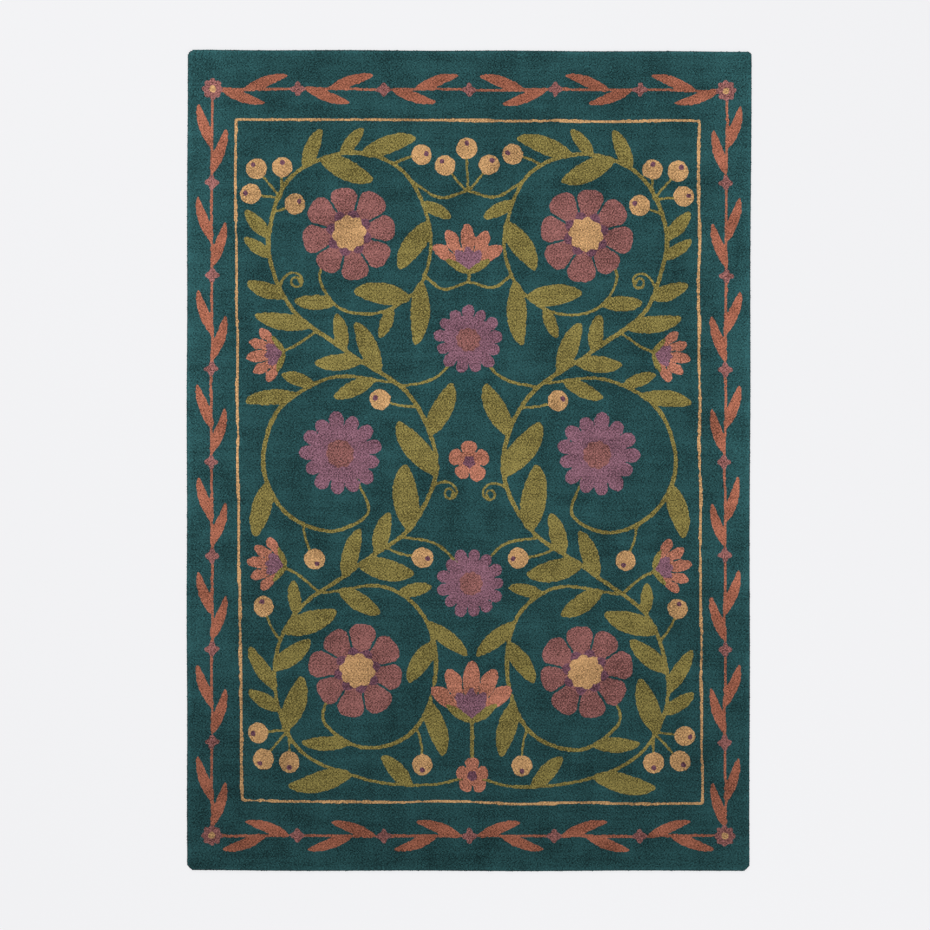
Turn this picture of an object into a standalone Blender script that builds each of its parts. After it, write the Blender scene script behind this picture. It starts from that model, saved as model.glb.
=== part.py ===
"""A tufted wool rug with a cut pile, lying flat on a floor.

Metres, +Z up. +X is the rug's right and +Y its head end. The origin is the middle
of the footprint, on the underside. The rug is one piece: its backing cloth, the
edge turned under and the pile on top are one solid, with a flat underside, a
rounded pile shoulder all round and a gently uneven pile top.
"""
import math
from collections import namedtuple

import bmesh
import bpy

# Driving dimensions
WIDTH = 1.600
LENGTH = 2.327
THICKNESS = 0.0125

# Cross-section of the edge, from the underside up to the pile top
FOOT_INSET = 0.0035
BACKING_INSET = 0.0012
BACKING_HEIGHT = 0.0025
PILE_SPREAD_HEIGHT = 0.0070
SHOULDER_STEPS = 3
SHOULDER_WIDTH = 0.0080
EDGE_BAND = 0.060

# The pile top is uneven: a broad swell and a slanting ripple dip it below the
# full thickness, by this far at most
PILE_DIP = 0.0009
SWELL_SHARE = 0.35
SWELL_LENGTH_X = 0.74
SWELL_LENGTH_Y = 0.93
RIPPLE_SHARE = 0.15
RIPPLE_LENGTH = 0.41
RIPPLE_HEADING = math.radians(53.0)

# Size of the faces on top, and the steps round a corner, whose radius keeps to
# its least as the rings draw in
CELL = 0.080
CORNER_STEPS = 5
LEAST_RADIUS = 0.004

# How far each side strays from a straight line, outwards, in the shape that it
# lies in: a bow at its middle, a lean from one end to the other, and a ripple.
Side = namedtuple("Side", "bow lean ripple waves")
RIGHT_SIDE = Side(bow=-0.0015, lean=0.0028, ripple=0.0007, waves=3.0)
LEFT_SIDE = Side(bow=0.0020, lean=-0.0006, ripple=0.0006, waves=4.0)
HEAD_SIDE = Side(bow=0.0004, lean=-0.0026, ripple=0.0007, waves=3.5)
FOOT_SIDE = Side(bow=0.0014, lean=0.0005, ripple=0.0008, waves=2.5)

# Corner radii, and the way from the middle to each corner
Corner = namedtuple("Corner", "along_x along_y radius")
CORNERS = (
    Corner(along_x=1, along_y=1, radius=0.013),
    Corner(along_x=-1, along_y=1, radius=0.022),
    Corner(along_x=-1, along_y=-1, radius=0.013),
    Corner(along_x=1, along_y=-1, radius=0.014),
)

PILE_COLOUR = (0.021, 0.067, 0.072, 1.0)
PILE_ROUGHNESS = 0.95
SHARP_EDGE = math.radians(60.0)

# Worked out from the driving dimensions
MEAN_TOP = THICKNESS - PILE_DIP / 2.0


def stray(side, t):
    """How far a side lies outside its straight line, at t from -1 to 1 along it."""
    bow = side.bow * (1.0 - t * t)
    return bow + side.lean * t + side.ripple * math.sin(side.waves * math.pi * t)


def as_it_lies(x, y):
    """A point of the straight rug, moved to where the slightly crooked rug has it."""
    across, along = 2.0 * x / WIDTH, 2.0 * y / LENGTH
    sideways = RIGHT_SIDE if across > 0.0 else LEFT_SIDE
    endways = HEAD_SIDE if along > 0.0 else FOOT_SIDE
    return x + across * stray(sideways, along), y + along * stray(endways, across)


def pile_top(x, y):
    """The height of the pile's top surface."""
    swell = math.sin(2.0 * math.pi * x / SWELL_LENGTH_X)
    swell *= math.cos(2.0 * math.pi * y / SWELL_LENGTH_Y)
    way = x * math.cos(RIPPLE_HEADING) + y * math.sin(RIPPLE_HEADING)
    ripple = math.sin(2.0 * math.pi * way / RIPPLE_LENGTH)
    return MEAN_TOP - PILE_DIP * (SWELL_SHARE * swell + RIPPLE_SHARE * ripple)


def stations(length, count):
    """Places along a side, evenly spaced between the ends of its straight run."""
    run = length - 2.0 * EDGE_BAND
    return [run * (step / count - 0.5) for step in range(count + 1)]


def straight_ring(inset, columns, rows):
    """The rounded rectangle at this inset, counter-clockwise from the right side's foot."""
    half_width, half_length = WIDTH / 2.0, LENGTH / 2.0
    right = [(half_width - inset, y) for y in rows]
    head = [(x, half_length - inset) for x in reversed(columns)]
    left = [(inset - half_width, y) for y in reversed(rows)]
    foot = [(x, inset - half_length) for x in columns]
    ring = []
    for quarter, (side, corner) in enumerate(zip((right, head, left, foot), CORNERS)):
        radius = max(corner.radius - inset, LEAST_RADIUS)
        centre_x = corner.along_x * (half_width - inset - radius)
        centre_y = corner.along_y * (half_length - inset - radius)
        ring += side
        for step in range(CORNER_STEPS + 1):
            turn = (quarter + step / CORNER_STEPS) * math.pi / 2.0
            ring.append((centre_x + radius * math.cos(turn), centre_y + radius * math.sin(turn)))
    return ring


def edge_profile():
    """Insets and heights of the rings, from the underside's rim up to the shoulder's top."""
    rings = [
        (FOOT_INSET, 0.0),
        (BACKING_INSET, BACKING_HEIGHT),
        (0.0, PILE_SPREAD_HEIGHT),
    ]
    rise = MEAN_TOP - PILE_SPREAD_HEIGHT
    for step in range(1, SHOULDER_STEPS + 1):
        turn = step / SHOULDER_STEPS * math.pi / 2.0
        inset = SHOULDER_WIDTH * (1.0 - math.cos(turn))
        rings.append((inset, PILE_SPREAD_HEIGHT + rise * math.sin(turn)))
    return rings


def add_ring(mesh, points, height):
    """Vertices of one ring; a height of None sets them on the pile top."""
    ring = []
    for x, y in points:
        lying_x, lying_y = as_it_lies(x, y)
        z = pile_top(x, y) if height is None else height
        ring.append(mesh.verts.new((lying_x, lying_y, z)))
    return ring


def bridge(mesh, lower, upper):
    """A band of faces between two rings of as many vertices."""
    for here in range(len(lower)):
        after = (here + 1) % len(lower)
        mesh.faces.new((lower[here], lower[after], upper[after], upper[here]))


def fill_top(mesh, ring, columns, rows):
    """The pile top inside the shoulder: a grid, and a band that joins it to the ring."""
    grid = [add_ring(mesh, [(x, y) for x in columns], None) for y in rows]
    for row in range(len(rows) - 1):
        for column in range(len(columns) - 1):
            near, far = grid[row], grid[row + 1]
            mesh.faces.new((near[column], near[column + 1], far[column + 1], far[column]))
    sides = (
        [line[-1] for line in grid],
        list(reversed(grid[-1])),
        [line[0] for line in reversed(grid)],
        grid[0],
    )
    start = 0
    for side in sides:
        for step in range(len(side) - 1):
            outer = ring[start + step]
            mesh.faces.new((outer, ring[start + step + 1], side[step + 1], side[step]))
        start += len(side)
        for step in range(-1, CORNER_STEPS + 1):
            outer = ring[start + step]
            mesh.faces.new((outer, ring[(start + step + 1) % len(ring)], side[-1]))
        start += CORNER_STEPS + 1


def fit_to_size(mesh):
    """Centres the footprint on the origin and brings it to its driving dimensions."""
    for axis, size in ((0, WIDTH), (1, LENGTH)):
        low = min(vertex.co[axis] for vertex in mesh.verts)
        high = max(vertex.co[axis] for vertex in mesh.verts)
        for vertex in mesh.verts:
            vertex.co[axis] = (vertex.co[axis] - (low + high) / 2.0) * size / (high - low)


def pile_material():
    """Teal wool."""
    material = bpy.data.materials.new("teal_wool")
    material.use_nodes = True
    shader = material.node_tree.nodes["Principled BSDF"]
    shader.inputs["Base Color"].default_value = PILE_COLOUR
    shader.inputs["Roughness"].default_value = PILE_ROUGHNESS
    shader.inputs["Metallic"].default_value = 0.0
    return material


def build_rug():
    """The rug as one closed solid."""
    columns = stations(WIDTH, round((WIDTH - 2.0 * EDGE_BAND) / CELL))
    rows = stations(LENGTH, round((LENGTH - 2.0 * EDGE_BAND) / CELL))
    mesh = bmesh.new()
    rings = []
    for inset, height in edge_profile():
        rings.append(add_ring(mesh, straight_ring(inset, columns, rows), height))
    for lower, upper in zip(rings, rings[1:]):
        bridge(mesh, lower, upper)
    mesh.faces.new(list(reversed(rings[0])))
    fill_top(mesh, rings[-1], columns, rows)
    fit_to_size(mesh)
    bmesh.ops.recalc_face_normals(mesh, faces=mesh.faces)
    data = bpy.data.meshes.new("rug")
    mesh.to_mesh(data)
    mesh.free()
    data.shade_smooth()
    data.set_sharp_from_angle(angle=SHARP_EDGE)
    data.materials.append(pile_material())
    rug = bpy.data.objects.new("rug", data)
    bpy.context.scene.collection.objects.link(rug)
    return rug


for leftover in list(bpy.data.objects):
    bpy.data.objects.remove(leftover, do_unlink=True)
build_rug()
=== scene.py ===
"""The looks of a tufted wool rug: its cut pile, yarn by yarn, its edge and its back.

Metres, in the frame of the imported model. The pile is a chart of tufts, each of one
yarn. Motifs are drawn on the chart with formulas, and each yarn's tufts then become
one pile surface with its own wool finish.
"""
import logging
import math
from collections.abc import Iterator
from dataclasses import dataclass, field
from enum import Enum

import bpy
import numpy as np
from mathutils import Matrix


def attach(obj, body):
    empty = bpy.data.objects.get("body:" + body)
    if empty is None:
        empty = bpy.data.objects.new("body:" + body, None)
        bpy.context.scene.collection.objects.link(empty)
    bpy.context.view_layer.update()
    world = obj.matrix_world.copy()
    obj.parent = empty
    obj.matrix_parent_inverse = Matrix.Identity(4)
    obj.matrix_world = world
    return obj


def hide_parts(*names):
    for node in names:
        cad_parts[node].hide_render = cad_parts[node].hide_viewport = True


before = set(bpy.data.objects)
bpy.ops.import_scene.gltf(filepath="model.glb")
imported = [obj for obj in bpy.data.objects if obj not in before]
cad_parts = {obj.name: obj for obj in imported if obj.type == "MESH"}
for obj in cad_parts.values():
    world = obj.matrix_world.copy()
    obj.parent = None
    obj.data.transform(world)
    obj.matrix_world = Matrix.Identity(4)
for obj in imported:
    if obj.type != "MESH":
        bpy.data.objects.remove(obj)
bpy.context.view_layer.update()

BODY = "root"
RUG_NODE = "rug"
LOG = logging.getLogger("rug")

Point = tuple[float, float]
Colour = tuple[float, float, float]
Window = tuple[slice, slice]
Corner = tuple[int, int]


class Yarn(Enum):
    """The dyed yarns, by their number on the chart."""

    TEAL = 0
    OLIVE = 1
    TERRACOTTA = 2
    CORAL = 3
    MAUVE = 4
    PURPLE = 5
    PLUM = 6
    GOLD = 7

    @property
    def slot(self) -> str:
        """The record's material slot of this yarn."""
        return f"{self.name.lower()}_wool"


class Value:
    """A shader socket that adds Math nodes when it is used in an expression."""

    def __init__(self, graph: "Graph", socket: bpy.types.NodeSocket) -> None:
        """Wraps a socket.

        Args:
            graph: The node graph that the socket is in.
            socket: An output socket.
        """
        self.graph = graph
        self.socket = socket

    def maths(self, operation: str, *others: "Value | float", clamp: bool = False) -> "Value":
        """Applies a Math node to this value.

        Args:
            operation: The node's operation.
            others: Its further inputs.
            clamp: Whether the result is kept within 0 and 1.

        Returns:
            The result.
        """
        inputs = dict(enumerate((self, *others)))
        return self.graph.node("ShaderNodeMath", {"operation": operation, "use_clamp": clamp}, inputs)

    def __add__(self, other: "Value | float") -> "Value":
        """This value plus another."""
        return self.maths("ADD", other)

    __radd__ = __add__

    def __sub__(self, other: "Value | float") -> "Value":
        """This value less another."""
        return self.maths("SUBTRACT", other)

    def __rsub__(self, other: float) -> "Value":
        """A number less this value."""
        return self.graph.constant_first("SUBTRACT", other, self)

    def __mul__(self, other: "Value | float") -> "Value":
        """This value times another."""
        return self.maths("MULTIPLY", other)

    __rmul__ = __mul__

    def clamped(self) -> "Value":
        """This value kept within 0 and 1."""
        return self.maths("ADD", 0.0, clamp=True)


class Graph:
    """The node graph of one material."""

    def __init__(self, name: str) -> None:
        """Makes a material with an empty graph.

        Args:
            name: The material's name.
        """
        self.material = bpy.data.materials.new(name)
        self.material.use_nodes = True
        self.tree = self.material.node_tree
        self.tree.nodes.clear()

    def node(
        self,
        kind: str,
        settings: dict[str, object] | None = None,
        inputs: dict[str | int, object] | None = None,
        output: str | int = 0,
    ) -> Value:
        """Adds a node.

        Args:
            kind: The node's type.
            settings: Its properties, which are set first.
            inputs: The values or links of its sockets.
            output: The output that is returned.

        Returns:
            The chosen output.
        """
        made = self.tree.nodes.new(kind)
        for name, setting in (settings or {}).items():
            setattr(made, name, setting)
        for name, value in (inputs or {}).items():
            if isinstance(value, Value):
                self.tree.links.new(value.socket, made.inputs[name])
            else:
                made.inputs[name].default_value = value
        return Value(self, made.outputs[output])

    def constant_first(self, operation: str, number: float, value: Value) -> Value:
        """A Math node whose first input is a number.

        Args:
            operation: The node's operation.
            number: The first input.
            value: The second input.

        Returns:
            The result.
        """
        return self.node("ShaderNodeMath", {"operation": operation}, {0: number, 1: value})

    def place(self) -> Value:
        """Where a point of the surface is, in metres on the piece."""
        return self.node("ShaderNodeTexCoord", output="Object")

    def noise(self, size: float, detail: float, place: Value) -> Value:
        """Soft noise.

        Args:
            size: The width of its blobs in metres.
            detail: How many finer layers it has.
            place: Where it is read.

        Returns:
            A value of about 0.3 to 0.7, 0.5 on average.
        """
        inputs = {"Vector": place, "Scale": 1.0 / size, "Detail": detail}
        return self.node("ShaderNodeTexNoise", inputs=inputs)

    def streaks(self, width: float, length: float, place: Value) -> Value:
        """Faint streaks along and across, as rows of tufts leave them.

        Args:
            width: The width of a streak in metres.
            length: Its length.
            place: Where they are read.

        Returns:
            A value about 0.5.
        """
        scales = ((1.0 / length, 1.0 / width, 0.0), (1.0 / width, 1.0 / length, 0.0))
        parts = []
        for scale in scales:
            drawn = self.node("ShaderNodeMapping", inputs={"Vector": place, "Scale": scale})
            parts.append(self.noise(1.0, 1.0, drawn))
        return parts[0] * 0.65 + parts[1] * 0.35

    def mix(self, share: "Value | float", first: object, second: object) -> Value:
        """Mixes two colours.

        Args:
            share: How much of the second colour is in the mix.
            first: A colour, or a value that holds one.
            second: A colour, or a value that holds one.

        Returns:
            The mixed colour.
        """
        inputs = {"Factor": share, "A": opaque(first), "B": opaque(second)}
        made = self.tree.nodes.new("ShaderNodeMix")
        made.data_type = "RGBA"
        for name, value in inputs.items():
            socket = next(s for s in made.inputs if s.name == name and s.enabled)
            if isinstance(value, Value):
                self.tree.links.new(value.socket, socket)
            else:
                socket.default_value = value
        return Value(self, next(s for s in made.outputs if s.enabled))

    def finish(
        self, base: Value, roughness: Value, height: Value, depth: float, sheen: float
    ) -> bpy.types.Material:
        """Ends the graph in a Principled shader.

        Args:
            base: The surface's colour.
            roughness: Its roughness.
            height: Its fine relief, 0 to 1.
            depth: The depth of that relief in metres.
            sheen: The weight of the fibres' sheen.

        Returns:
            The material.
        """
        relief = {"Height": height, "Distance": depth, "Strength": 1.0}
        bump = self.node("ShaderNodeBump", inputs=relief, output="Normal")
        constant = {"Sheen Weight": sheen, "Sheen Roughness": 0.45, "Specular IOR Level": 0.06}
        inputs = {"Base Color": base, "Roughness": roughness, "Normal": bump, **constant}
        shader = self.node("ShaderNodeBsdfPrincipled", inputs=inputs, output="BSDF")
        end = self.tree.nodes.new("ShaderNodeOutputMaterial")
        self.tree.links.new(shader.socket, end.inputs["Surface"])
        return self.material


def opaque(colour: object) -> object:
    """A plain colour as the four numbers of a socket; anything else stays as it is.

    Args:
        colour: A colour of three numbers, or a value.

    Returns:
        The colour with an alpha of 1, or the value.
    """
    return (*colour, 1.0) if isinstance(colour, tuple) else colour


@dataclass(frozen=True)
class Fleck:
    """Rare strands that are much lighter or darker than the rest; the dark ones are partly painted shadow in
    the pits between tufts.

    A strand is one where its random number passes the limit. The sharpness says how
    suddenly that starts, the strength how much it shows, and the shade what the
    yarn's brightness is multiplied by.
    """

    limit: float
    sharpness: float
    strength: float
    shade: float


@dataclass(frozen=True)
class Wool:
    """The finish of one dyed wool yarn in a cut pile.

    Sizes are in metres, a streak's as its width and length. A tint is how strongly a
    pattern lightens and darkens the yarn. The colour also carries painted light and
    shade: towards the foot, at the long sides and the edge, on the tufts' crowns, in the
    gaps and pits between tufts, and in soft patches.
    """

    yarn: Yarn
    colour: Colour
    contrast: float = 1.0
    tuft: float = 0.0056
    strand: float = 0.0027
    fibre: float = 0.0011
    row: Point = (0.0040, 0.12)
    band: Point = (0.032, 0.30)
    # Soft patches of painted light and shade, as brushed pile shows them.
    patch: float = 0.09
    tuft_tint: float = 0.245
    # Painted light on each tuft's crown and painted shade in the gaps between tufts.
    crown_light_gap_shade: float = 0.60
    crown_gap_divide: float = 0.37
    strand_tint: float = 0.30
    fibre_tint: float = 0.35
    row_tint: float = 0.80
    band_tint: float = 0.70
    patch_tint: float = 0.90
    tones: Point = (0.36, 1.64)
    pale: Fleck = Fleck(0.92, 16.0, 0.45, 2.5)
    # Dark flecks: partly darker strands, partly painted shadow in the pits between tufts.
    deep: Fleck = Fleck(0.10, 12.0, 0.22, 0.26)
    roughness: float = 0.86
    fibre_roughness: float = 0.2
    relief: float = 0.0014
    fibre_relief: float = 0.4
    sheen: float = 0.02
    # Painted shade towards the foot and painted light at the long sides, multiplied into the colour.
    foot_shade: float = 0.27
    foot_line: float = -1.16
    foot_reach: float = 1.25
    side_light: float = 0.22
    side_line: float = 0.60
    side_reach: float = 0.125
    # Painted light along the rug's edge, by the tufts' nearness to it.
    edge_light: float = 0.36
    upright_scale: tuple[float, float, float] = (1.8, 1.8, 0.45)
    upright_contrast: float = 1.8

    def shade(self, factor: float) -> Colour:
        """The yarn's colour, lighter or darker.

        Args:
            factor: What its brightness is multiplied by.

        Returns:
            The colour.
        """
        red, green, blue = self.colour
        return (red * factor, green * factor, blue * factor)

    def fall_of_light(self, graph: Graph, place: Value) -> Value:
        """Painted light and shade over the rug: painted shade towards the foot and painted light at the long
        sides, for how light falls on the leaning yarn ends.

        Args:
            graph: The material's graph.
            place: The place on the rug.

        Returns:
            A factor of about 1, lower towards the foot and higher at the long sides.
        """
        x = graph.node("ShaderNodeSeparateXYZ", inputs={0: place}, output="X")
        y = graph.node("ShaderNodeSeparateXYZ", inputs={0: place}, output="Y")
        upper = ((y - self.foot_line) * (1.0 / self.foot_reach)).clamped()
        side = ((x.maths("ABSOLUTE") - self.side_line) * (1.0 / self.side_reach)).clamped()
        return 1.0 - self.foot_shade * (1.0 - upper) + self.side_light * side * upper

    def material(self, name: str, flat: bool = True) -> bpy.types.Material:
        """The yarn's material.

        Args:
            name: The material's name.
            flat: Whether it lies on the pile's top, whose tufts carry their own tint.

        Returns:
            The material.
        """
        graph = Graph(name)
        place = graph.place()
        settings = {"voronoi_dimensions": "2D" if flat else "3D"}
        if flat:
            drawn, contrast = place, self.contrast
            own = graph.node("ShaderNodeAttribute", {"attribute_name": "tuft"}, output="Fac")
            edge = graph.node("ShaderNodeAttribute", {"attribute_name": "edge"}, output="Fac")
        else:
            stretch = {"Vector": place, "Scale": self.upright_scale}
            drawn = graph.node("ShaderNodeMapping", inputs=stretch)
            contrast = self.upright_contrast * self.contrast
            # Upright yarn on the rim and the pile's foot gets the full painted light of the edge.
            own, edge = 0.0, 1.0
        tufts = {"Vector": drawn, "Scale": 1.0 / self.tuft, "Randomness": 0.8}
        strands = {"Vector": drawn, "Scale": 1.0 / self.strand, "Randomness": 1.0}
        away = graph.node("ShaderNodeTexVoronoi", settings, tufts, "Distance")
        lot = graph.node("ShaderNodeTexVoronoi", settings, strands, "Color")
        tint = graph.node("ShaderNodeSeparateColor", inputs={0: lot}, output="Red")
        chance = graph.node("ShaderNodeSeparateColor", inputs={0: lot}, output="Green")
        fibres = graph.noise(self.fibre, 2.0, place)
        patches = graph.noise(self.patch, 3.0, place)
        rows = graph.streaks(*self.row, place)
        bands = graph.streaks(*self.band, place)
        # The second term paints light on each tuft's crown and shade in the gaps between tufts.
        tone = self.tuft_tint * own + self.crown_light_gap_shade * (self.crown_gap_divide - away)
        tone = tone + self.strand_tint * (tint - 0.5) + self.fibre_tint * (fibres - 0.5)
        tone = tone + self.row_tint * (rows - 0.5)
        # The patches add soft painted light and shade, as brushed pile shows them.
        tone = tone * contrast + self.patch_tint * (patches - 0.5) + self.band_tint * (bands - 0.5)
        base = graph.mix((tone + 0.5).clamped(), *map(self.shade, self.tones))
        for fleck, over in ((self.pale, chance - self.pale.limit), (self.deep, self.deep.limit - chance)):
            share = (over * fleck.sharpness).clamped() * (fleck.strength * contrast)
            base = graph.mix(share, base, self.shade(fleck.shade))
        # Painted light and shade scale the colour: darker towards the foot, lighter at the long sides and
        # along the rug's edge.
        light = self.fall_of_light(graph, place) * (1.0 + self.edge_light * edge)
        base = graph.node("ShaderNodeVectorMath", {"operation": "SCALE"}, {0: base, "Scale": light}, "Vector")
        roughness = self.roughness + fibres * self.fibre_roughness
        dome = (1.0 - away * away).clamped()
        height = dome * (1.0 - self.fibre_relief) + fibres * self.fibre_relief
        return graph.finish(base, roughness, height, self.relief, self.sheen)


WOOLS = {
    wool.yarn: wool
    for wool in (
        Wool(Yarn.TEAL, (0.0176, 0.0625, 0.0662), contrast=0.85),
        Wool(Yarn.OLIVE, (0.1949, 0.1592, 0.0473), contrast=1.1),
        Wool(Yarn.TERRACOTTA, (0.2904, 0.1011, 0.0614), contrast=0.8),
        Wool(Yarn.CORAL, (0.3800, 0.1473, 0.0950), contrast=0.9),
        Wool(Yarn.MAUVE, (0.2272, 0.0928, 0.0851), contrast=1.08),
        Wool(Yarn.PURPLE, (0.1976, 0.0941, 0.1280)),
        Wool(Yarn.PLUM, (0.1380, 0.0600, 0.0840)),
        Wool(Yarn.GOLD, (0.4587, 0.2650, 0.1190), contrast=0.75),
    )
}


@dataclass(frozen=True)
class BackingCloth:
    """The finish of the undyed cotton cloth on the rug's underside."""

    colour: Colour = (0.60, 0.53, 0.42)
    gap_shade: Colour = (0.62, 0.60, 0.55)
    thread: float = 0.0016

    def material(self) -> bpy.types.Material:
        """The cloth's material: a plain weave with uneven threads.

        Returns:
            The material.
        """
        graph = Graph("backing_cloth")
        place = graph.place()
        threads = []
        for direction in ("X", "Y"):
            settings = {"wave_type": "BANDS", "bands_direction": direction}
            # At scale 1 the bands lie pi / 10 apart, and a thread takes half of that.
            scale = math.pi / (20.0 * self.thread)
            inputs = {"Vector": place, "Scale": scale, "Distortion": 0.6, "Detail": 1.0}
            threads.append(graph.node("ShaderNodeTexWave", settings, inputs, "Fac"))
        weave = threads[0].maths("MAXIMUM", threads[1])
        slubs = graph.noise(0.02, 3.0, place)
        deep = tuple(part * shade for part, shade in zip(self.colour, self.gap_shade))
        base = graph.mix((weave * 0.6 + (slubs - 0.5) * 1.1 + 0.3).clamped(), deep, self.colour)
        return graph.finish(base, 0.88 + slubs * 0.1, weave, 0.0005, 0.1)


@dataclass
class Outline:
    """The rug's edge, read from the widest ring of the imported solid."""

    ring_height: float = 0.0070
    ring_slack: float = 0.0003
    corner_zone: float = 0.026

    def __post_init__(self) -> None:
        """Reads the ring, side by side."""
        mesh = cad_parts[RUG_NODE].data
        places = np.empty(len(mesh.vertices) * 3)
        mesh.vertices.foreach_get("co", places)
        places = places.reshape(-1, 3)
        high = places.max(0)
        self.half_width, self.half_length, self.top = (float(value) for value in high)
        ring = places[np.abs(places[:, 2] - self.ring_height) < self.ring_slack]
        long_sides = np.abs(ring[:, 1]) < self.half_length - self.corner_zone
        ends = np.abs(ring[:, 0]) < self.half_width - self.corner_zone
        self.right = self.side(ring[long_sides & (ring[:, 0] > 0.0)], 1)
        self.left = self.side(ring[long_sides & (ring[:, 0] < 0.0)], 1)
        self.head = self.side(ring[ends & (ring[:, 1] > 0.0)], 0)
        self.foot = self.side(ring[ends & (ring[:, 1] < 0.0)], 0)

    @staticmethod
    def side(ring: np.ndarray, along: int) -> tuple[np.ndarray, np.ndarray]:
        """One side of the ring.

        Args:
            ring: The ring's points on that side.
            along: The axis that the side runs along.

        Returns:
            The places along the side in order, and where the side is across at each.
        """
        order = np.argsort(ring[:, along])
        return ring[order, along], ring[order, 1 - along]

    def lay(self, x: np.ndarray, y: np.ndarray) -> tuple[np.ndarray, np.ndarray]:
        """Moves points of a straight rug to where the crooked rug has them.

        Args:
            x: Places across the straight rug.
            y: Places along it.

        Returns:
            The moved places.
        """
        share_x, share_y = x / self.half_width, y / self.half_length
        right, left = np.interp(y, *self.right), np.interp(y, *self.left)
        head, foot = np.interp(x, *self.head), np.interp(x, *self.foot)
        lying_x = np.where(share_x > 0.0, share_x * right, -share_x * left)
        lying_y = np.where(share_y > 0.0, share_y * head, -share_y * foot)
        return lying_x, lying_y


@dataclass
class EdgeSection:
    """The cross-section of the rug's edge, on the straight rug."""

    outline: Outline
    shoulder: float = 0.0080
    spread_height: float = 0.0070
    radii: dict[Corner, float] = field(
        default_factory=lambda: {(1, 1): 0.0125, (-1, 1): 0.0220, (-1, -1): 0.0230, (1, -1): 0.0235}
    )
    dip: float = 0.0009

    def inset(self, x: np.ndarray, y: np.ndarray) -> np.ndarray:
        """How far points lie inside the straight rug's rounded outline.

        Args:
            x: Places across the rug.
            y: Places along it.

        Returns:
            The distances, negative outside.
        """
        radius = np.zeros_like(x)
        for (side_x, side_y), corner in self.radii.items():
            radius = np.where((x * side_x > 0.0) & (y * side_y > 0.0), corner, radius)
        over_x = np.abs(x) - (self.outline.half_width - radius)
        over_y = np.abs(y) - (self.outline.half_length - radius)
        outside = np.hypot(np.maximum(over_x, 0.0), np.maximum(over_y, 0.0))
        return radius - outside - np.minimum(np.maximum(over_x, over_y), 0.0)

    def height(self, inset: np.ndarray) -> np.ndarray:
        """The mean height of the pile top.

        Args:
            inset: Distances inside the outline.

        Returns:
            The heights.
        """
        share = np.clip(1.0 - inset / self.shoulder, 0.0, 1.0)
        full = self.outline.top - self.dip / 2.0
        return self.spread_height + (full - self.spread_height) * np.sqrt(1.0 - share * share)


def waves(x: np.ndarray, y: np.ndarray, size: float, seed: int) -> np.ndarray:
    """Soft uneven swells from a few crossing waves.

    Args:
        x: Places across.
        y: Places along.
        size: The usual length of a wave in metres.
        seed: What the waves are drawn with.

    Returns:
        Values of about -1 to 1.
    """
    draw = np.random.default_rng(seed)
    total = np.zeros_like(x)
    count = 6
    for _ in range(count):
        heading, phase = draw.uniform(0.0, 2.0 * math.pi, 2)
        length = size * draw.uniform(0.7, 1.5)
        way = x * math.cos(heading) + y * math.sin(heading)
        total += np.sin(2.0 * math.pi * way / length + phase)
    return total / (count / 2.0)


@dataclass
class TuftChart:
    """Which yarn each tuft of the pile has."""

    outline: Outline
    section: EdgeSection
    pitch: float = 0.00335
    looseness: float = 0.15
    wobble: float = 0.0022
    wobble_size: float = 0.23

    def __post_init__(self) -> None:
        """Lays out the tufts, all in the ground's yarn."""
        width, length = 2.0 * self.outline.half_width, 2.0 * self.outline.half_length
        self.columns, self.rows = round(width / self.pitch), round(length / self.pitch)
        self.edges_x = np.linspace(-width / 2.0, width / 2.0, self.columns + 1)
        self.edges_y = np.linspace(-length / 2.0, length / 2.0, self.rows + 1)
        x = (self.edges_x[1:] + self.edges_x[:-1]) / 2.0
        y = (self.edges_y[1:] + self.edges_y[:-1]) / 2.0
        self.x, self.y = np.meshgrid(x, y)
        draw = np.random.default_rng(5)
        loose = self.looseness * self.pitch
        sway_x = self.wobble * waves(self.x, self.y, self.wobble_size, 11)
        sway_y = self.wobble * waves(self.x, self.y, self.wobble_size, 12)
        self.drawn_x = self.x + draw.normal(0.0, loose, self.x.shape) + sway_x
        self.drawn_y = self.y + draw.normal(0.0, loose, self.x.shape) + sway_y
        self.yarn = np.full(self.x.shape, Yarn.TEAL.value, np.int8)
        self.held = self.section.inset(self.x, self.y) > 0.0

    def window(self, low: Point, high: Point) -> Window:
        """The rows and columns of a part of the chart.

        Args:
            low: The part's lowest corner.
            high: Its highest corner.

        Returns:
            The slices of the rows and columns, a little larger than the part.
        """
        slack = 0.024
        half_width, half_length = self.outline.half_width, self.outline.half_length
        first_column = int((low[0] - slack + half_width) / self.pitch)
        last_column = int((high[0] + slack + half_width) / self.pitch) + 1
        first_row = int((low[1] - slack + half_length) / self.pitch)
        last_row = int((high[1] + slack + half_length) / self.pitch) + 1
        return slice(max(first_row, 0), max(last_row, 0)), slice(max(first_column, 0), max(last_column, 0))


def towards(start: Point, heading: float, reach: float) -> Point:
    """The point a way off.

    Args:
        start: The point to set out from.
        heading: The direction in degrees, anticlockwise from +X.
        reach: How far to go.

    Returns:
        The point.
    """
    angle = math.radians(heading)
    return (start[0] + reach * math.cos(angle), start[1] + reach * math.sin(angle))


def bent(start: Point, heading: float, length: float, bend: float, last_bend: float) -> np.ndarray:
    """A curve whose bend changes evenly from its start to its end.

    Args:
        start: Its first point.
        heading: Its first direction in degrees.
        length: Its length in metres.
        bend: How it turns at its start, in degrees a metre.
        last_bend: How it turns at its end.

    Returns:
        Points along the curve, one a row.
    """
    steps = max(8, round(length / 0.006))
    run = np.linspace(0.0, length, steps + 1)
    angle = np.radians(heading + bend * run + (last_bend - bend) * run * run / (2.0 * length))
    middle = (angle[1:] + angle[:-1]) / 2.0
    step = length / steps
    x = start[0] + np.concatenate([[0.0], np.cumsum(np.cos(middle) * step)])
    y = start[1] + np.concatenate([[0.0], np.cumsum(np.sin(middle) * step)])
    return np.stack([x, y], 1)


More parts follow.
